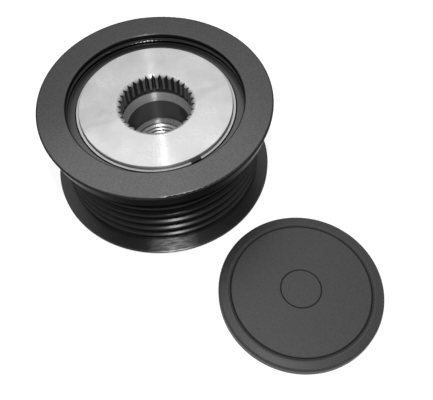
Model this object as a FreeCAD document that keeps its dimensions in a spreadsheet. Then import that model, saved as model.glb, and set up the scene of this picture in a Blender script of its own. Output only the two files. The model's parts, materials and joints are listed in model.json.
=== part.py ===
"""Overrunning alternator pulley, standing on the rear face of its hub, with the dust cap beside it.

The pulley axis is Z, the origin is the centre of the hub's rear face, and the front looks up.
"""
import FreeCAD, Part
import math
import os
import Sketcher
from FreeCAD import Vector

doc = FreeCAD.newDocument("alternator_pulley")

# Driving sizes, in millimetres and degrees. Radii grow outwards from the inner raceway and heights
# grow upwards from the hub's rear face, each by a named step.
SIZES = {
    # Raceways and rollers
    "inner_race_radius": 15.5,
    "race_gap": 3.0,
    "race_clearance": 0.04,
    "sleeve_wall": 1.8,
    "sleeve_top_drop": 0.3,
    "needle_count": 10,
    "needle_cage_width": 5.5,
    "needle_cage_margin": 0.75,
    "needle_cage_wall": 1.6,
    "pocket_clearance": 0.1,
    "stack_gap": 0.3,
    "rear_stack_gap": 0.45,
    # One-way clutch
    "clutch_roller_count": 8,
    "clutch_roller_radius": 1.75,
    "clutch_roller_margin": 0.65,
    "clutch_cage_wall": 2.3,
    "ramp_lead": 7.0,
    "ramp_clearance": 0.02,
    "spring_thickness": 0.25,
    "spring_margin": 1.65,
    "spring_room": 2.7,
    # Pulley ring, from its bores to its rims
    "rear_shoulder": 1.0,
    "rear_shoulder_length": 2.8,
    "counterbore_step": 1.05,
    "counterbore_depth": 1.8,
    "ledge_step": 0.3,
    "ledge_width": 1.95,
    "recess_depth": 3.3,
    "recess_lip": 0.25,
    "snap_groove_width": 0.9,
    "snap_groove_depth": 0.35,
    "ring_wall": 4.7,
    "rear_flange_reach": 3.3,
    "rear_flange_thickness": 1.15,
    "rear_edge_chamfer": 0.4,
    "front_flange_reach": 3.2,
    "front_cone_height": 2.3,
    "front_rim_lean": 0.9,
    "front_rim_height": 4.0,
    "front_rim_straight": 0.76,
    "front_edge_round": 0.5,
    # Belt grooves
    "groove_count": 6,
    "groove_pitch": 3.56,
    "groove_angle": 40.0,
    "groove_depth": 3.0,
    "groove_floor_width": 0.7,
    "first_groove_height": 2.3,
    "front_land": 0.3,
    # Hub
    "hub_proud": 0.6,
    "disc_clearance": 0.3,
    "disc_drop": 2.2,
    "disc_gap": 0.15,
    "disc_chamfer": 0.12,
    "barrel_chamfer": 0.5,
    "serration_count": 33,
    "serration_tip_radius": 8.7,
    "serration_depth": 1.68,
    "serration_floor_width": 0.16,
    "serration_half_angle": 15.5,
    "serration_entry": 0.22,
    "serration_entry_depth": 0.6,
    "serration_run_out": 0.3,
    "serration_turn": 1.4,
    "serration_length": 5.5,
    "serration_relief": 1.4,
    "cone_height": 2.1,
    "thread_radius": 8.0,
    "thread_chamfer": 0.4,
    "plain_bore_step": 0.85,
    "thread_top_height": 10.4,
    "pilot_step": 0.5,
    "pilot_depth": 2.5,
    # Washer, split ring and seals
    "shield_thickness": 0.5,
    "shield_overlap": 2.3,
    "fit_clearance": 0.05,
    "split_ring_width": 0.6,
    "split_ring_height": 1.4,
    "split_ring_gap": 2.95,
    "split_ring_turn": -68.0,
    "front_seal_height": 1.2,
    "rear_seal_height": 2.4,
    "seal_wall": 1.0,
    "seal_lip": 0.6,
    # Dust cap
    "cap_radius": 21.8,
    "cap_height": 2.6,
    "cap_plate": 1.3,
    "cap_wall": 1.5,
    "cap_edge_round": 0.6,
    "cap_rim_width": 3.3,
    "cap_groove_width": 0.35,
    "cap_groove_depth": 0.2,
    "cap_button_radius": 5.36,
    "cap_apart": 4.11,
    "cap_direction": -57.78,
    # How far cutting outlines run on past the surface that they cut
    "cut_margin": 1.0,
}

sheet = doc.addObject("Spreadsheet::Sheet", "Sizes")
for row, (alias, number) in enumerate(SIZES.items(), start=1):
    sheet.set(f"A{row}", alias)
    sheet.set(f"B{row}", str(number))
    sheet.setAlias(f"B{row}", alias)
doc.recompute()


class Size:
    """A size kept as an expression on the sheet together with its present value."""

    def __init__(self, text, value):
        self.text = text
        self.value = value

    def _join(self, sign, other, value):
        return Size(f"({self.text} {sign} {other.text})", value)

    def __add__(self, other):
        other = as_size(other)
        return self._join("+", other, self.value + other.value)

    def __sub__(self, other):
        other = as_size(other)
        return self._join("-", other, self.value - other.value)

    def __mul__(self, other):
        other = as_size(other)
        return self._join("*", other, self.value * other.value)

    def __truediv__(self, other):
        other = as_size(other)
        return self._join("/", other, self.value / other.value)

    def __rsub__(self, other):
        return as_size(other) - self

    def __neg__(self):
        return Size(f"(-{self.text})", -self.value)

    __radd__ = __add__
    __rmul__ = __mul__


def as_size(thing):
    return thing if isinstance(thing, Size) else Size(str(thing), thing)


def cos(angle):
    return Size(f"cos({angle.text})", math.cos(math.radians(angle.value)))


def sin(angle):
    return Size(f"sin({angle.text})", math.sin(math.radians(angle.value)))


def tan(angle):
    return Size(f"tan({angle.text})", math.tan(math.radians(angle.value)))


def size(alias):
    return Size(f"Sizes.{alias}", SIZES[alias])


def bind(thing, name, amount):
    thing.setExpression(name, as_size(amount).text)


ZERO = Size("0", 0.0)


def origin_plane(body, role):
    return next(feature for feature in body.Origin.OriginFeatures if feature.Role == role)


def outline(body, name, role, points):
    """A closed outline of straight lines, each corner fixed by two sizes from the origin.

    In a sketch, -1 and -2 stand for the X and Y axes, and -1 with 1 for the origin.
    """
    sketch = body.newObject("Sketcher::SketchObject", name)
    sketch.AttachmentSupport = (origin_plane(body, role), "")
    sketch.MapMode = "FlatFace"
    corners = [Vector(x.value, y.value, 0) for x, y in points]
    count = len(corners)
    sketch.addGeometry([Part.LineSegment(corners[i], corners[(i + 1) % count]) for i in range(count)])
    rules = []
    bindings = []
    for i, (x, y) in enumerate(points):
        rules.append(Sketcher.Constraint("Coincident", i, 2, (i + 1) % count, 1))
        for kind, amount, axis in (("DistanceX", x, -2), ("DistanceY", y, -1)):
            if amount is ZERO:
                rules.append(Sketcher.Constraint("PointOnObject", i, 1, axis))
                continue
            if amount.value < 0:
                bindings.append((len(rules), -amount))
                rules.append(Sketcher.Constraint(kind, i, 1, -1, 1, -amount.value))
            else:
                bindings.append((len(rules), amount))
                rules.append(Sketcher.Constraint(kind, -1, 1, i, 1, amount.value))
    sketch.addConstraint(rules)
    for index, amount in bindings:
        bind(sketch, f"Constraints[{index}]", amount)
    return sketch


def new_body(name):
    body = doc.addObject("PartDesign::Body", name)
    body.Label = name
    return body


def revolve(body, name, points, feature="PartDesign::Revolution"):
    """Turn an outline of (radius, height) corners about the pulley axis."""
    sketch = outline(body, name + "_outline", "XZ_Plane", points)
    turned = body.newObject(feature, name)
    turned.Profile = sketch
    turned.ReferenceAxis = (sketch, ["V_Axis"])
    turned.Angle = 360
    return turned


def cut_up(body, name, points, base, height):
    """Cut an outline of (x, y) corners upwards from the height base."""
    sketch = outline(body, name + "_outline", "XY_Plane", points)
    bind(sketch, "AttachmentOffset.Base.z", base)
    cut = body.newObject("PartDesign::Pocket", name)
    cut.Profile = sketch
    cut.Type = 0
    cut.Reversed = True
    bind(cut, "Length", height)
    return cut


def around(body, name, feature, count):
    pattern = body.newObject("PartDesign::PolarPattern", name)
    pattern.Originals = [feature]
    pattern.Axis = (origin_plane(body, "Z_Axis"), [""])
    pattern.Angle = 360
    bind(pattern, "Occurrences", count)
    body.Tip = pattern
    return pattern


def round_edges(body, name, places, radius):
    """Round the full circles of the body that lie at the given (radius, height) places."""
    doc.recompute()
    shape = body.Shape
    names = []
    for index, edge in enumerate(shape.Edges, start=1):
        curve = edge.Curve
        if not isinstance(curve, Part.Circle):
            continue
        for wanted_radius, wanted_height in places:
            near = abs(curve.Radius - wanted_radius.value) + abs(curve.Center.z - wanted_height.value)
            if near < 1e-4:
                names.append(f"Edge{index}")
    if len(names) < len(places):
        raise RuntimeError(f"{name}: an edge to round is missing")
    base = body.Tip
    fillet = body.newObject("PartDesign::Fillet", name)
    fillet.Base = (base, names)
    bind(fillet, "Radius", radius)
    return fillet


# Radii that several pieces share, from the inner raceway outwards
inner_race = size("inner_race_radius")
outer_race = inner_race + size("race_gap")
race_middle = inner_race + size("race_gap") * 0.5
needle_radius = size("race_gap") * 0.5 - size("race_clearance")
clutch_roller_pitch = outer_race - size("race_clearance") - size("clutch_roller_radius")
sleeve_bore = outer_race + size("sleeve_wall")
rear_bore = sleeve_bore - size("rear_shoulder")
counterbore = sleeve_bore + size("counterbore_step")
ledge_inner = counterbore + size("ledge_step")
groove_floor = sleeve_bore + size("ring_wall")
crest = groove_floor + size("groove_depth")
rear_rim = crest + size("rear_flange_reach")
front_rim = crest + size("front_flange_reach")

# Heights of the belt grooves and of the ring's two faces
groove_half_tan = tan(size("groove_angle") * 0.5)
groove_floor_half = size("groove_floor_width") * 0.5
groove_half = groove_floor_half + size("groove_depth") * groove_half_tan
ring_rear = size("hub_proud")
first_groove = ring_rear + size("first_groove_height")
last_groove = first_groove + size("groove_pitch") * (size("groove_count") - 1)
land_top = last_groove + groove_half + size("front_land")
rim_foot = land_top + size("front_cone_height")
rim_straight = rim_foot + size("front_rim_height")
ring_front = rim_straight + size("front_rim_straight")

# Heights of what lies inside the ring, whose room the clutch fills
ledge_height = ring_front - size("recess_depth")
shield_seat = ledge_height - size("counterbore_depth")
shield_top = shield_seat + size("shield_thickness")
sleeve_bottom = ring_rear + size("rear_shoulder_length")
sleeve_top = shield_seat - size("sleeve_top_drop")
disc_top = ring_front - size("disc_drop")
disc_bottom = shield_top + size("disc_clearance")
front_seal_bottom = sleeve_top - size("front_seal_height")
front_cage_top = front_seal_bottom - size("stack_gap") * 0.5
front_cage_bottom = front_cage_top - size("needle_cage_width")
clutch_cage_top = front_cage_bottom - size("stack_gap")
rear_cage_bottom = sleeve_bottom + size("rear_stack_gap")
rear_cage_top = rear_cage_bottom + size("needle_cage_width")
clutch_cage_bottom = rear_cage_top + size("stack_gap")
clutch_cage_width = clutch_cage_top - clutch_cage_bottom


def make_pulley_ring():
    body = new_body("pulley_ring")
    recess = ledge_inner + size("ledge_width")
    lip = size("recess_lip")
    snap_middle = (ring_front + ledge_height) * 0.5
    snap_half = size("snap_groove_width") * 0.5
    revolve(body, "ring_solid", [
        (rear_bore, ring_rear),
        (crest, ring_rear),
        (crest, land_top),
        (front_rim - size("front_rim_lean"), rim_foot),
        (front_rim, rim_straight),
        (front_rim, ring_front),
        (recess + lip, ring_front),
        (recess, ring_front - lip),
        (recess, snap_middle + snap_half),
        (recess + size("snap_groove_depth"), snap_middle),
        (recess, snap_middle - snap_half),
        (recess, ledge_height),
        (ledge_inner, ledge_height),
        (counterbore, ledge_height - size("ledge_step")),
        (counterbore, shield_seat),
        (sleeve_bore, shield_seat),
        (sleeve_bore, sleeve_bottom),
        (rear_bore, sleeve_bottom),
    ])
    groove = revolve(body, "belt_groove", [
        (groove_floor, first_groove - groove_floor_half),
        (groove_floor, first_groove + groove_floor_half),
        (crest, first_groove + groove_half),
        (crest, first_groove - groove_half),
    ], "PartDesign::Groove")
    pattern = body.newObject("PartDesign::LinearPattern", "belt_grooves")
    pattern.Originals = [groove]
    pattern.Direction = (origin_plane(body, "Z_Axis"), [""])
    bind(pattern, "Length", size("groove_pitch") * (size("groove_count") - 1))
    bind(pattern, "Occurrences", size("groove_count"))
    body.Tip = pattern
    # The rear flange fills the foot of the first groove, whose lower flank runs into its flat face
    flange_top = ring_rear + size("rear_flange_thickness")
    chamfer = size("rear_edge_chamfer")
    revolve(body, "rear_flange", [
        (groove_floor, ring_rear),
        (rear_rim - chamfer, ring_rear),
        (rear_rim, ring_rear + chamfer),
        (rear_rim, flange_top),
        (groove_floor, flange_top),
    ])
    round_edges(body, "front_edge", [(front_rim, ring_front)], size("front_edge_round"))
    return body


def make_hub():
    body = new_body("hub")
    chamfer = size("barrel_chamfer")
    disc_radius = counterbore - size("fit_clearance") - size("split_ring_width") - size("disc_gap")
    disc_chamfer = size("disc_chamfer")
    tip = size("serration_tip_radius")
    root = tip + size("serration_depth")
    serration_bottom = disc_top - size("serration_length")
    cone_top = serration_bottom - size("serration_relief")
    cone_bottom = cone_top - size("cone_height")
    thread = size("thread_radius")
    thread_chamfer = size("thread_chamfer")
    thread_top = size("thread_top_height")
    plain_bore = thread + size("plain_bore_step")
    pilot = thread + size("pilot_step")
    pilot_depth = size("pilot_depth")
    revolve(body, "hub_solid", [
        (pilot, ZERO),
        (inner_race - chamfer, ZERO),
        (inner_race, chamfer),
        (inner_race, disc_bottom),
        (disc_radius, disc_bottom),
        (disc_radius, disc_top - disc_chamfer),
        (disc_radius - disc_chamfer, disc_top),
        (root + size("serration_entry"), disc_top),
        (tip, disc_top - size("serration_entry_depth")),
        (tip, serration_bottom),
        (root, serration_bottom),
        (root, cone_top),
        (plain_bore, cone_bottom),
        (plain_bore, thread_top),
        (thread + thread_chamfer, thread_top),
        (thread, thread_top - thread_chamfer),
        (thread, pilot_depth + thread_chamfer),
        (thread + thread_chamfer, pilot_depth),
        (pilot, pilot_depth),
    ])
    # Flats round the barrel are the ramps of the one-way clutch, each as wide as the barrel leaves it
    roller_height = clutch_roller_pitch * cos(size("ramp_lead"))
    ramp_height = roller_height - size("clutch_roller_radius") - size("ramp_clearance")
    outside = inner_race + size("cut_margin")
    half_width = inner_race * tan(as_size(180) / size("clutch_roller_count"))
    ramp = cut_up(body, "clutch_ramp", [
        (ramp_height, -half_width),
        (outside, -half_width),
        (outside, half_width),
        (ramp_height, half_width),
    ], clutch_cage_bottom, clutch_cage_width)
    around(body, "clutch_ramps", ramp, size("clutch_roller_count"))
    # Tooth spaces of the serration, wider at the tips of the teeth
    floor_half = size("serration_floor_width") * 0.5
    inside = tip - size("serration_run_out")
    open_half = floor_half + (root - inside) * tan(size("serration_half_angle"))
    space = cut_up(body, "tooth_space", [
        (inside, -open_half),
        (root, -floor_half),
        (root, floor_half),
        (inside, open_half),
    ], serration_bottom, size("serration_length"))
    bind(space.Profile[0], "AttachmentOffset.Rotation.Angle", size("serration_turn"))
    around(body, "serration", space, size("serration_count"))
    return body


def make_sleeve():
    body = new_body("outer_race_sleeve")
    revolve(body, "sleeve_solid", [
        (outer_race, sleeve_bottom),
        (sleeve_bore, sleeve_bottom),
        (sleeve_bore, sleeve_top),
        (outer_race, sleeve_top),
    ])
    return body


def make_front_shield():
    body = new_body("front_shield")
    inner = outer_race - size("shield_overlap")
    outer = counterbore - size("fit_clearance")
    revolve(body, "shield_solid", [
        (inner, shield_seat),
        (outer, shield_seat),
        (outer, shield_top),
        (inner, shield_top),
    ])
    return body


def make_retaining_ring():
    body = new_body("retaining_ring")
    outer = counterbore - size("fit_clearance")
    inner = outer - size("split_ring_width")
    top = shield_top + size("split_ring_height")
    revolve(body, "split_ring_solid", [
        (inner, shield_top),
        (outer, shield_top),
        (outer, top),
        (inner, top),
    ])
    half_gap = size("split_ring_gap") * 0.5
    margin = size("cut_margin")
    split = cut_up(body, "ring_split", [
        (inner - margin, -half_gap),
        (outer + margin, -half_gap),
        (outer + margin, half_gap),
        (inner - margin, half_gap),
    ], shield_top, size("split_ring_height"))
    bind(split.Profile[0], "AttachmentOffset.Rotation.Angle", size("split_ring_turn"))
    return body


def make_front_seal():
    body = new_body("front_seal")
    lip_radius = inner_race + size("fit_clearance")
    wall = size("seal_wall")
    web_bottom = sleeve_top - size("seal_lip")
    revolve(body, "front_seal_solid", [
        (outer_race - wall, front_seal_bottom),
        (outer_race, front_seal_bottom),
        (outer_race, sleeve_top),
        (lip_radius, sleeve_top),
        (lip_radius, web_bottom),
        (outer_race - wall, web_bottom),
    ])
    return body


def make_rear_seal():
    body = new_body("rear_seal")
    lip_radius = inner_race + size("fit_clearance")
    wall = size("seal_wall")
    bottom = sleeve_bottom - size("rear_seal_height")
    web_top = bottom + size("seal_lip")
    revolve(body, "rear_seal_solid", [
        (lip_radius, bottom),
        (rear_bore, bottom),
        (rear_bore, sleeve_bottom),
        (rear_bore - wall, sleeve_bottom),
        (rear_bore - wall, web_top),
        (lip_radius, web_top),
    ])
    return body


def make_needle_cage(name, bottom):
    body = new_body(name)
    half_wall = size("needle_cage_wall") * 0.5
    revolve(body, name + "_solid", [
        (race_middle - half_wall, bottom),
        (race_middle + half_wall, bottom),
        (race_middle + half_wall, bottom + size("needle_cage_width")),
        (race_middle - half_wall, bottom + size("needle_cage_width")),
    ])
    half_width = needle_radius + size("pocket_clearance")
    end_wall = size("needle_cage_margin") - size("pocket_clearance")
    reach = half_wall + size("cut_margin")
    pocket = cut_up(body, name + "_pocket", [
        (race_middle - reach, -half_width),
        (race_middle + reach, -half_width),
        (race_middle + reach, half_width),
        (race_middle - reach, half_width),
    ], bottom + end_wall, size("needle_cage_width") - end_wall * 2)
    around(body, name + "_pockets", pocket, size("needle_count"))
    return body


def make_roller(name, radius, length, pitch_radius, turn, bottom):
    roller = doc.addObject("Part::Cylinder", name)
    roller.Label = name
    bind(roller, "Radius", radius)
    bind(roller, "Height", length)
    bind(roller, "Placement.Base.x", pitch_radius * cos(turn))
    bind(roller, "Placement.Base.y", pitch_radius * sin(turn))
    bind(roller, "Placement.Base.z", bottom)
    return roller


def make_needles(name, cage_bottom):
    """The needles of one bearing, separate solids in one group."""
    margin = size("needle_cage_margin")
    needles = []
    for index in range(SIZES["needle_count"]):
        turn = as_size(360) / size("needle_count") * index
        needles.append(make_roller(f"{name}_{index + 1:02d}", needle_radius,
                                   size("needle_cage_width") - margin * 2, race_middle, turn,
                                   cage_bottom + margin))
    group = doc.addObject("Part::Compound", name)
    group.Label = name
    group.Links = needles
    return group


clutch_step = as_size(360) / size("clutch_roller_count")
roller_offset = clutch_roller_pitch * sin(size("ramp_lead"))
window_roller_end = roller_offset + size("clutch_roller_radius") + size("pocket_clearance")
window_spring_end = (roller_offset - size("clutch_roller_radius") - size("spring_room")
                     - size("pocket_clearance"))


def make_clutch_cage():
    body = new_body("clutch_cage")
    half_wall = size("clutch_cage_wall") * 0.5
    revolve(body, "clutch_cage_solid", [
        (race_middle - half_wall, clutch_cage_bottom),
        (race_middle + half_wall, clutch_cage_bottom),
        (race_middle + half_wall, clutch_cage_top),
        (race_middle - half_wall, clutch_cage_top),
    ])
    end_wall = size("clutch_roller_margin") - size("pocket_clearance")
    reach = half_wall + size("cut_margin")
    window = cut_up(body, "clutch_window", [
        (race_middle - reach, -window_roller_end),
        (race_middle + reach, -window_roller_end),
        (race_middle + reach, -window_spring_end),
        (race_middle - reach, -window_spring_end),
    ], clutch_cage_bottom + end_wall, clutch_cage_width - end_wall * 2)
    around(body, "clutch_windows", window, size("clutch_roller_count"))
    return body


def make_clutch_rollers():
    margin = size("clutch_roller_margin")
    rollers = []
    for index in range(SIZES["clutch_roller_count"]):
        turn = clutch_step * index - size("ramp_lead")
        rollers.append(make_roller(f"clutch_roller_{index + 1:02d}", size("clutch_roller_radius"),
                                   clutch_cage_width - margin * 2, clutch_roller_pitch, turn,
                                   clutch_cage_bottom + margin))
    return rollers


def make_clutch_spring(index):
    """A leaf bent in a zigzag, between the cage bar and the roller."""
    name = f"clutch_spring_{index + 1:02d}"
    body = new_body(name)
    thick = size("spring_thickness")
    half_wall = size("clutch_cage_wall") * 0.5 - size("pocket_clearance") * 2
    inner = race_middle - half_wall
    outer = race_middle + half_wall
    start = window_spring_end + size("pocket_clearance") * 0.5
    fold = (size("spring_room") - thick - size("pocket_clearance")) / 3
    # Where the two faces of a fold meet on its inner side
    crease = (outer - inner) * thick / (fold * 2)
    middle = thick * 0.5
    sketch = outline(body, name + "_outline", "XY_Plane", [
        (outer, -start),
        (outer, -(start + thick)),
        (inner + crease, -(start + fold + middle)),
        (outer, -(start + fold * 2)),
        (outer, -(start + fold * 2 + thick)),
        (inner, -(start + fold * 3 + thick)),
        (inner, -(start + fold * 3)),
        (outer - crease, -(start + fold * 2 + middle)),
        (inner, -(start + fold + thick)),
        (inner, -(start + fold)),
    ])
    bind(sketch, "AttachmentOffset.Base.z", clutch_cage_bottom + size("spring_margin"))
    bind(sketch, "AttachmentOffset.Rotation.Angle", clutch_step * index)
    leaf = body.newObject("PartDesign::Pad", name + "_leaf")
    leaf.Profile = sketch
    bind(leaf, "Length", clutch_cage_width - size("spring_margin") * 2)
    return body


def make_dust_cap():
    body = new_body("dust_cap")
    radius = size("cap_radius")
    top = size("cap_height")
    inner = radius - size("cap_wall")
    groove = radius - size("cap_rim_width")
    half_groove = size("cap_groove_width") * 0.5
    depth = size("cap_groove_depth")
    button = size("cap_button_radius")
    revolve(body, "cap_solid", [
        (inner, ZERO),
        (radius, ZERO),
        (radius, top),
        (groove + half_groove, top),
        (groove, top - depth),
        (groove - half_groove, top),
        (button + half_groove, top),
        (button, top - depth),
        (button - half_groove, top),
        (ZERO, top),
        (ZERO, top - size("cap_plate")),
        (inner, top - size("cap_plate")),
    ])
    round_edges(body, "cap_edge", [(radius, top)], size("cap_edge_round"))
    distance = rear_rim + size("cap_apart") + radius
    bind(body, "Placement.Base.x", distance * cos(size("cap_direction")))
    bind(body, "Placement.Base.y", distance * sin(size("cap_direction")))
    return body


pieces = [
    make_pulley_ring(),
    make_sleeve(),
    make_hub(),
    make_retaining_ring(),
    make_front_shield(),
    make_front_seal(),
    make_rear_seal(),
    make_needle_cage("front_needle_cage", front_cage_bottom),
    make_needles("front_needles", front_cage_bottom),
    make_needle_cage("rear_needle_cage", rear_cage_bottom),
    make_needles("rear_needles", rear_cage_bottom),
    make_clutch_cage(),
    *make_clutch_rollers(),
    *[make_clutch_spring(index) for index in range(SIZES["clutch_roller_count"])],
    make_dust_cap(),
]
doc.recompute()

for thing in doc.Objects:
    if "Invalid" in thing.State or "Error" in thing.State:
        raise RuntimeError(f"{thing.Label} failed: {thing.State}")
for piece in pieces:
    if piece.Shape.isNull() or not piece.Shape.isValid() or not piece.Shape.Solids:
        raise RuntimeError(f"{piece.Label} has no valid solid")

os.makedirs("parts", exist_ok=True)
for piece in pieces:
    piece.Shape.exportStep(f"parts/{piece.Label}.step")
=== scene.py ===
"""Looks of the overrunning alternator pulley and its dust cap: materials, thread, light and camera."""
import json
import math

import bpy
import bmesh
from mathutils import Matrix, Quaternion, Vector


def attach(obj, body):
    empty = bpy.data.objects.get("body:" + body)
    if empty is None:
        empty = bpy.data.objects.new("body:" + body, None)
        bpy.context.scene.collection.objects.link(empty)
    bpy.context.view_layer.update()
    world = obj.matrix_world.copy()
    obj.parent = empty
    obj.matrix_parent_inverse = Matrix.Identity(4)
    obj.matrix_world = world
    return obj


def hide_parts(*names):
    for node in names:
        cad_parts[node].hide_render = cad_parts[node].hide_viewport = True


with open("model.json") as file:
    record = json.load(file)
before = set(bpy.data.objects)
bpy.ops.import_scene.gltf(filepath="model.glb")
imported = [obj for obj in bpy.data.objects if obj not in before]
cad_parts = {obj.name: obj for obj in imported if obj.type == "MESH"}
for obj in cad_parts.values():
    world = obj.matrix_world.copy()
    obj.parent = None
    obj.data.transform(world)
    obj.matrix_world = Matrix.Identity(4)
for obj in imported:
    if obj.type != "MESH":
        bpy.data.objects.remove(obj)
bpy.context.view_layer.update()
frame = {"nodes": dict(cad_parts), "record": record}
nodes = frame["nodes"]
MM = 0.001

# Heights and radii, in millimetres
DISC_TOP = 27.3
TOOTH_ROOT = 10.38
TOOTH_TIP = 9.45
TOOTH_TIP_OF_FRAME = 8.7
TEETH_BOTTOM = 22.4
TEETH_BOTTOM_OF_FRAME = 21.8
CONE_TOP = 20.4
CONE_BOTTOM = 18.3
BORE_BOTTOM = 10.4
THREAD_TOP = 10.0
THREAD_BOTTOM = 2.9
THREAD_RADIUS = 8.0
THREAD_PITCH = 1.5
THREAD_DEPTH = 0.812
THREAD_CHAMFER = 0.4
THREAD_SUNK = 0.05
THREAD_STEPS = 96
RING_FRONT = 29.5
RIBS_TOP = 23.4
LEDGE = 26.2
RECESS_RADIUS = 23.6
REAR_FLANGE_TOP = 1.75
CAP_CENTRE = (30.5, -48.4)
CAP_RADIUS = 21.8
CAP_RIM_GROOVE = 18.5
CAP_GATE_GROOVE = 5.36


class Shader:
    """A material whose nodes are added one call at a time."""

    def __init__(self, name):
        self.material = bpy.data.materials.new(name)
        self.material.use_nodes = True
        self.tree = self.material.node_tree
        self.tree.nodes.clear()
        self.output = self.tree.nodes.new("ShaderNodeOutputMaterial")

    def put(self, socket, value):
        """Link a node's output to a socket, or write a value on it."""
        if isinstance(value, bpy.types.NodeSocket):
            self.tree.links.new(value, socket)
        else:
            socket.default_value = value

    def node(self, kind, inputs=None, **settings):
        made = self.tree.nodes.new(kind)
        for name, value in settings.items():
            setattr(made, name, value)
        for name, value in (inputs or {}).items():
            self.put(made.inputs[name], value)
        return made

    def math(self, operation, *values):
        made = self.node("ShaderNodeMath", operation=operation)
        for socket, value in zip(made.inputs, values):
            self.put(socket, value)
        return made.outputs[0]

    def place(self):
        return self.node("ShaderNodeTexCoord").outputs["Object"]

    def height_and_radius(self, centre=(0.0, 0.0)):
        """Height above the floor and distance from an upright axis, in millimetres."""
        x = self.math("SUBTRACT", self.along(0), centre[0])
        y = self.math("SUBTRACT", self.along(1), centre[1])
        squares = self.math("ADD", self.math("MULTIPLY", x, x), self.math("MULTIPLY", y, y))
        return self.along(2), self.math("SQRT", squares)

    def along(self, axis):
        """Place along one axis, in millimetres."""
        apart = self.node("ShaderNodeSeparateXYZ", {0: self.place()})
        return self.math("MULTIPLY", apart.outputs[axis], 1 / MM)

    def noise(self, scale, detail=2.0, stretch=None):
        where = self.place()
        if stretch:
            where = self.node("ShaderNodeMapping", {"Vector": where, "Scale": stretch}).outputs[0]
        return self.node("ShaderNodeTexNoise", {"Vector": where, "Scale": scale, "Detail": detail}).outputs[0]

    def between(self, value, low, high, to_low=0.0, to_high=1.0):
        """Value carried from one range to another, held at its ends."""
        return self.node("ShaderNodeMapRange", {0: value, 1: low, 2: high, 3: to_low, 4: to_high}).outputs[0]

    def band(self, value, middle, reach):
        """1 at the middle of a range of the value, falling to 0 at both its ends."""
        away = self.math("ABSOLUTE", self.math("SUBTRACT", value, middle))
        return self.between(away, reach, 0.0)

    def around_axis(self):
        return self.node("ShaderNodeTangent", direction_type="RADIAL", axis="Z").outputs[0]

    def mix(self, amount, first, second):
        made = self.node("ShaderNodeMix", data_type="RGBA")
        self.put(made.inputs[0], amount)
        self.put(made.inputs[6], first)
        self.put(made.inputs[7], second)
        return made.outputs[2]

    def bump(self, height, strength, distance, onto=None):
        raised = {"Height": height, "Strength": strength, "Distance": distance * MM}
        made = self.node("ShaderNodeBump", raised)
        if onto is not None:
            self.put(made.inputs["Normal"], onto)
        return made.outputs[0]

    def finish(self, **inputs):
        surface = self.node("ShaderNodeBsdfPrincipled", inputs)
        self.tree.links.new(surface.outputs[0], self.output.inputs[0])
        return self.material


def grey(level):
    return (level, level, level, 1.0)


def ring_coat():
    """Blackened turned steel: a rougher finish on the front face and the ledge, glossier elsewhere. Its
    colour holds painted light: lighter on the upward front face, ledge and rear flange, darker on the ribs
    and walls, with a painted highlight on the rear flange.
    """
    shader = Shader("ring_coat")
    height, radius = shader.height_and_radius()
    on_face = shader.between(height, RING_FRONT - 0.12, RING_FRONT - 0.02)
    on_ledge = shader.band(height, LEDGE, 0.05)
    satin_and_lit_faces = shader.math("MAXIMUM", on_face, on_ledge)
    on_flange = shader.between(height, REAR_FLANGE_TOP + 0.15, REAR_FLANGE_TOP + 0.05)
    grain = shader.noise(2600.0, 3.0)
    brushed = shader.noise(1500.0, 4.0)
    on_ribs = shader.math("LESS_THAN", height, RIBS_TOP)
    edge = shader.math("ADD", shader.math("MULTIPLY", on_ribs, 0.18 * MM), 0.22 * MM)
    soft_edge = shader.node("ShaderNodeBevel", {"Radius": edge}, samples=8).outputs[0]
    # A fine ridge that the turning tool left low on the recess wall
    on_wall = shader.band(radius, RECESS_RADIUS, 0.1)
    ridge = shader.math("MULTIPLY", on_wall, shader.band(height, LEDGE + 0.9, 0.35))
    ridged = shader.bump(ridge, 1.0, 0.5, soft_edge)
    streaks = shader.math("MULTIPLY", on_flange, brushed)
    worn = shader.bump(streaks, 0.5, 0.04, ridged)
    rough = shader.math("ADD", shader.math("MULTIPLY", satin_and_lit_faces, 0.12), 0.22)
    rough = shader.math("ADD", rough, shader.math("MULTIPLY", on_flange, 0.12))
    rough = shader.math("ADD", rough, shader.math("MULTIPLY", on_ribs, 0.08))
    # Painted highlight: a pale, streaked patch painted on a short stretch of the rear flange on the near
    # side, where the lamp's reflection falls.
    near_side = shader.math("LESS_THAN", shader.along(1), 0.0)
    stretch = shader.math("MULTIPLY", shader.band(shader.along(0), -1.0, 7.5), near_side)
    highlight_streaks = shader.between(shader.noise(2600.0, 3.0, (0.2, 1.0, 1.0)), 0.25, 0.7)
    painted_highlight_patch = shader.math("MULTIPLY", highlight_streaks, stretch)
    # Painted light: the front face and the ledge get a lighter coat colour than the ribs and walls, and the
    # rear flange a slightly lighter one, standing in for the light that falls on these upward faces.
    dark = shader.mix(on_flange, grey(0.025), shader.mix(painted_highlight_patch, grey(0.04), grey(0.35)))
    lit_mottled_coat = shader.mix(shader.between(grain, 0.3, 0.7), grey(0.042), grey(0.059))
    return shader.finish(**{
        "Base Color": shader.mix(satin_and_lit_faces, dark, lit_mottled_coat),
        "Metallic": 1.0,
        "Roughness": rough,
        "Specular Tint": grey(0.4),
        "Anisotropic": 0.6,
        "Anisotropic Rotation": 0.25,
        "Tangent": shader.around_axis(),
        "Normal": shader.bump(grain, 0.12, 0.02, worn),
    })


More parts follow.
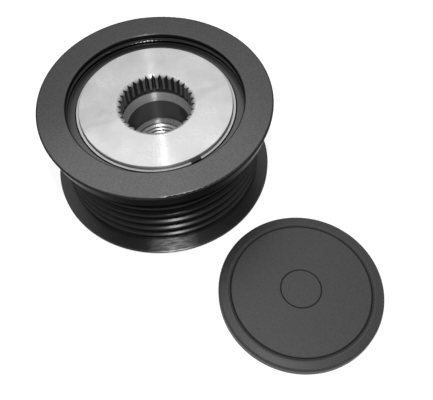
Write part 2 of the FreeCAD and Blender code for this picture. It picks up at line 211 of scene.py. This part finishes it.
def turned_steel():
    """Bright turned steel of the hub: ringed on the disc, bead blasted on the cone, with painted glints on
    the cone and the thread, and painted shade down the bore, on the teeth and in the thread roots.
    """
    shader = Shader("turned_steel")
    height, radius = shader.height_and_radius()
    cloud = shader.noise(160.0, 4.0)
    speck = shader.between(shader.noise(3000.0, 2.0), 0.55, 0.7)
    stain = shader.math("MULTIPLY", speck, shader.between(cloud, 0.42, 0.6))
    tint = shader.mix(shader.between(cloud, 0.35, 0.7), grey(0.24), grey(0.32))
    face = shader.mix(stain, tint, grey(0.13))
    inside = shader.math("LESS_THAN", radius, 11.0)
    on_wall = shader.math("MULTIPLY", shader.between(height, CONE_BOTTOM, CONE_BOTTOM - 0.1),
                          shader.between(height, BORE_BOTTOM, BORE_BOTTOM + 0.1))
    on_cone = shader.math("MULTIPLY", shader.between(height, CONE_BOTTOM - 0.1, CONE_BOTTOM),
                          shader.between(height, CONE_TOP - 0.2, CONE_TOP - 0.35))
    on_teeth = shader.math("MULTIPLY", shader.between(height, CONE_TOP - 0.35, CONE_TOP - 0.2),
                           shader.between(height, DISC_TOP - 0.12, DISC_TOP - 0.55))
    on_thread = shader.math("LESS_THAN", height, BORE_BOTTOM + 0.02)
    # Painted shade and light: the tooth flanks, the spaces between them and the lower part of the tooth
    # chamfers are coloured dark for their shade, the tips lighter for the light they catch.
    tip = shader.between(radius, TOOTH_TIP + 0.2, TOOTH_TIP + 0.05)
    tooth = shader.mix(tip, grey(0.045), grey(0.13))
    colour = shader.mix(shader.math("MULTIPLY", on_teeth, inside), face, tooth)
    # Painted shade: the bore wall is coloured dark for the shade down the bore.
    colour = shader.mix(shader.math("MULTIPLY", on_wall, inside), colour, grey(0.06))
    hidden = shader.math("MAXIMUM", on_wall, on_teeth)
    rough_part = shader.math("MULTIPLY", shader.math("MAXIMUM", on_cone, on_thread), inside)
    # Painted glints: bright specks painted into the colour of the cone and the thread, for the sparkle of
    # their blasted surface.
    sparkle = shader.noise(3200.0, 2.0)
    glint = shader.between(sparkle, 0.68, 0.72)
    grained = shader.mix(glint, shader.mix(sparkle, grey(0.11), grey(0.3)), grey(0.8))
    colour = shader.mix(rough_part, colour, grained)
    # Painted shade: the roots between the thread's ridges are coloured near black for the shade in them.
    root = shader.math("MULTIPLY", shader.between(radius, THREAD_RADIUS - 0.4, THREAD_RADIUS - 0.1),
                       shader.between(height, THREAD_TOP - 0.2, THREAD_TOP - 0.4))
    colour = shader.mix(root, colour, grey(0.02))
    hidden = shader.math("MAXIMUM", hidden, root)
    waves = shader.bump(shader.noise(220.0, 1.0), 0.6, 0.2)
    return shader.finish(**{
        "Base Color": colour,
        "Metallic": 0.36,
        "Roughness": 0.33,
        "Coat Weight": shader.math("SUBTRACT", 1.0, shader.math("MULTIPLY", hidden, inside)),
        "Coat Roughness": 0.3,
        "Coat IOR": 1.9,
        "Anisotropic": 1.0,
        "Anisotropic Rotation": 0.25,
        "Tangent": shader.around_axis(),
        "Normal": shader.bump(shader.math("MULTIPLY", sparkle, rough_part), 0.5, 0.03, waves),
    })


def grained(name, level, metallic, roughness):
    """A plain steel, rubber or plastic with a fine grain in its colour, gloss and surface."""
    shader = Shader(name)
    grain = shader.noise(1800.0, 3.0)
    return shader.finish(**{
        "Base Color": shader.mix(grain, grey(level * 0.8), grey(level * 1.2)),
        "Metallic": metallic,
        "Roughness": shader.between(grain, 0.2, 0.8, roughness - 0.06, roughness + 0.06),
        "Normal": shader.bump(grain, 0.15, 0.02),
    })


def cap_plastic():
    """Grained black plastic, with a rim that swells a little, faint rings round the gate mark and painted
    shade in its two grooves.
    """
    shader = Shader("cap_plastic")
    radius = shader.height_and_radius(CAP_CENTRE)[1]
    grain = shader.noise(2200.0, 3.0)
    rim = shader.math("MULTIPLY", shader.between(radius, CAP_RIM_GROOVE + 0.1, CAP_RIM_GROOVE + 0.7),
                      shader.between(radius, CAP_RADIUS, CAP_RADIUS - 2.2))
    rings = shader.math("MAXIMUM", shader.band(radius, 2.0, 0.3), shader.band(radius, 3.4, 0.35))
    swell = shader.bump(rim, 1.0, 0.5)
    faint = shader.bump(rings, 0.25, 0.05, swell)
    # Painted shade: the rim groove and the groove round the gate mark are coloured nearly black for the shade
    # in them.
    in_groove = shader.math("MAXIMUM", shader.band(radius, CAP_RIM_GROOVE, 0.5),
                            shader.band(radius, CAP_GATE_GROOVE, 0.4))
    return shader.finish(**{
        "Base Color": shader.mix(in_groove, shader.mix(grain, grey(0.012), grey(0.044)), grey(0.009)),
        "Specular IOR Level": 0.35,
        "Roughness": 0.5,
        "Normal": shader.bump(grain, 0.6, 0.04, faint),
    })


finishes = {
    "ring_black": ring_coat(),
    "hub_steel": turned_steel(),
    "race_steel": grained("race_steel", 0.55, 1.0, 0.3),
    "roller_steel": grained("roller_steel", 0.7, 1.0, 0.15),
    "spring_steel": grained("spring_steel", 0.5, 1.0, 0.3),
    "ring_steel": grained("ring_steel", 0.3, 0.5, 0.45),
    "shield_steel": grained("shield_steel", 0.03, 1.0, 0.4),
    "seal_rubber": grained("seal_rubber", 0.03, 0.0, 0.6),
    "cage_plastic": grained("cage_plastic", 0.08, 0.0, 0.5),
    "cap_plastic": cap_plastic(),
}
for part in frame["record"]["subparts"]:
    piece = nodes[part["node"]]
    for slot in piece.material_slots:
        slot.material = finishes[part["material_slot"]]


def make_hub():
    """The hub of the frame, its teeth drawn back to the depth and length that the photograph shows."""
    shape = bmesh.new()
    shape.from_mesh(nodes["hub"].data)
    bmesh.ops.remove_doubles(shape, verts=shape.verts, dist=1e-6)
    share = (TOOTH_ROOT - TOOTH_TIP) / (TOOTH_ROOT - TOOTH_TIP_OF_FRAME)
    for vertex in shape.verts:
        radius = vertex.co.xy.length / MM
        height = vertex.co.z / MM
        if radius > TOOTH_ROOT + 0.01 or height < TEETH_BOTTOM_OF_FRAME - 0.01:
            continue
        closer = (TOOTH_ROOT - (TOOTH_ROOT - radius) * share) / radius
        vertex.co.x *= closer
        vertex.co.y *= closer
        if height < TEETH_BOTTOM_OF_FRAME + 0.01:
            vertex.co.z = TEETH_BOTTOM * MM
    bmesh.ops.recalc_face_normals(shape, faces=shape.faces)
    mesh = bpy.data.meshes.new("hub_turned")
    shape.to_mesh(mesh)
    shape.free()
    if "custom_normal" in mesh.attributes:
        mesh.attributes.remove(mesh.attributes["custom_normal"])
    mesh.shade_smooth()
    mesh.set_sharp_from_angle(angle=math.radians(12))
    hub = bpy.data.objects.new("hub_turned", mesh)
    bpy.context.scene.collection.objects.link(hub)
    mesh.materials.clear()
    mesh.materials.append(finishes["hub_steel"])
    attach(hub, "hub")
    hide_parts("hub")


def make_thread():
    """Right-hand ridges of the thread on the hub's bore wall, cut back by its chamfers at both ends."""
    half_root = THREAD_PITCH * 7 / 16
    half_crest = THREAD_PITCH / 8
    profile = [(THREAD_RADIUS + THREAD_SUNK, -half_root - THREAD_SUNK * math.tan(math.radians(30)))]
    for share in (0.0, 0.25, 0.5, 0.75, 1.0):
        profile.append((THREAD_RADIUS - THREAD_DEPTH * share, -half_root + (half_root - half_crest) * share))
    profile += [(radius, -rise) for radius, rise in reversed(profile)]
    shape = bmesh.new()
    start = THREAD_BOTTOM - THREAD_PITCH * 0.5
    corners = [shape.verts.new((radius * MM, 0.0, (start + rise) * MM)) for radius, rise in profile]
    sides = [shape.edges.new(pair) for pair in zip(corners, corners[1:])]
    turns = (THREAD_TOP - THREAD_BOTTOM) / THREAD_PITCH + 1
    steps = round(turns * THREAD_STEPS)
    bmesh.ops.spin(shape, geom=corners + sides, cent=(0.0, 0.0, 0.0), axis=(0.0, 0.0, 1.0),
                   dvec=(0.0, 0.0, THREAD_PITCH / THREAD_STEPS * MM),
                   angle=math.tau * steps / THREAD_STEPS, steps=steps)
    for vertex in shape.verts:
        radius = vertex.co.xy.length / MM
        height = vertex.co.z / MM
        past_end = max(height - THREAD_TOP, THREAD_BOTTOM - height)
        outwards = max(1.0, (THREAD_RADIUS + 0.03 + past_end) / radius)
        vertex.co.x *= outwards
        vertex.co.y *= outwards
    inside_chamfer = THREAD_CHAMFER - 0.02
    for height, way in ((THREAD_TOP + inside_chamfer, 1.0), (THREAD_BOTTOM - inside_chamfer, -1.0)):
        bmesh.ops.bisect_plane(shape, geom=shape.verts[:] + shape.edges[:] + shape.faces[:], dist=1e-7,
                               plane_co=(0.0, 0.0, height * MM), plane_no=(0.0, 0.0, way), clear_outer=True)
    mesh = bpy.data.meshes.new("thread_ridges")
    shape.to_mesh(mesh)
    shape.free()
    thread = bpy.data.objects.new("thread_ridges", mesh)
    bpy.context.scene.collection.objects.link(thread)
    mesh.materials.append(finishes["hub_steel"])
    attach(thread, "hub")


def seen_directly(tree):
    """1 for what the camera sees, straight or mirrored or through glass."""
    path = tree.nodes.new("ShaderNodeLightPath")
    either = tree.nodes.new("ShaderNodeMath")
    either.operation = "MAXIMUM"
    tree.links.new(path.outputs["Is Camera Ray"], either.inputs[0])
    tree.links.new(path.outputs["Is Glossy Ray"], either.inputs[1])
    any_ray = tree.nodes.new("ShaderNodeMath")
    any_ray.operation = "MAXIMUM"
    tree.links.new(either.outputs[0], any_ray.inputs[0])
    tree.links.new(path.outputs["Is Transmission Ray"], any_ray.inputs[1])
    return any_ray.outputs[0]


def make_floor():
    """A floor that the camera and reflections see as white, with a faint shadow of the object."""
    mesh = bpy.data.meshes.new("floor")
    shape = bmesh.new()
    bmesh.ops.create_grid(shape, x_segments=1, y_segments=1, size=1.5)
    shape.to_mesh(mesh)
    shape.free()
    floor = bpy.data.objects.new("floor", mesh)
    bpy.context.scene.collection.objects.link(floor)
    shader = Shader("floor_white")
    matte = shader.node("ShaderNodeBsdfDiffuse", {"Color": grey(0.85)})
    radius = shader.height_and_radius()[1]
    level = shader.between(radius, 90.0, 200.0, 0.8, 1.0)
    white = shader.node("ShaderNodeEmission", {"Color": grey(1.0), "Strength": level})
    faint = shader.node("ShaderNodeBsdfDiffuse", {"Color": grey(0.35)})
    shadowed = shader.node("ShaderNodeAddShader", {0: white.outputs[0], 1: faint.outputs[0]})
    seen = seen_directly(shader.tree)
    both = shader.node("ShaderNodeMixShader", {0: seen, 1: matte.outputs[0], 2: shadowed.outputs[0]})
    shader.tree.links.new(both.outputs[0], shader.output.inputs[0])
    mesh.materials.append(shader.material)


def make_world():
    """Even soft light all round, seen as white."""
    world = bpy.data.worlds.new("room")
    bpy.context.scene.world = world
    world.use_nodes = True
    tree = world.node_tree
    tree.nodes.clear()
    output = tree.nodes.new("ShaderNodeOutputWorld")
    room = tree.nodes.new("ShaderNodeBackground")
    room.inputs[0].default_value = grey(0.32)
    white = tree.nodes.new("ShaderNodeBackground")
    white.inputs[0].default_value = grey(1.0)
    both = tree.nodes.new("ShaderNodeMixShader")
    tree.links.new(seen_directly(tree), both.inputs[0])
    tree.links.new(room.outputs[0], both.inputs[1])
    tree.links.new(white.outputs[0], both.inputs[2])
    tree.links.new(both.outputs[0], output.inputs[0])


def add_light(name, place, target, across, watts):
    """A rectangular lamp at a place, turned to a target, all in millimetres."""
    data = bpy.data.lights.new(name, "AREA")
    data.shape = "RECTANGLE"
    data.size, data.size_y = across[0] * MM, across[1] * MM
    data.energy = watts
    light = bpy.data.objects.new(name, data)
    light.location = Vector(place) * MM
    aim = Vector(target) * MM - light.location
    light.rotation_mode = "QUATERNION"
    light.rotation_quaternion = aim.to_track_quat("-Z", "Y")
    bpy.context.scene.collection.objects.link(light)


def make_camera():
    """Looks down from the front at about 58 degrees."""
    data = bpy.data.cameras.new("camera")
    data.sensor_width = 36.0
    data.lens = 48.83
    data.clip_start = 0.005
    data.clip_end = 10.0
    camera = bpy.data.objects.new("camera", data)
    camera.location = Vector((0.0, -104.85, 146.96)) * MM
    turn = Vector((0.54815, -0.03518, -0.16589))
    camera.rotation_mode = "QUATERNION"
    camera.rotation_quaternion = Quaternion(turn.normalized(), turn.length)
    bpy.context.scene.collection.objects.link(camera)
    bpy.context.scene.camera = camera


make_hub()
make_thread()
make_floor()
make_world()
add_light("key", (4, -80, 215), (0, -20, 20), (7, 16), 0.27)
add_light("softbox", (-25, 92, 230), (0, 0, 20), (230, 110), 0.26)
make_camera()
bpy.context.scene.view_settings.view_transform = "Standard"
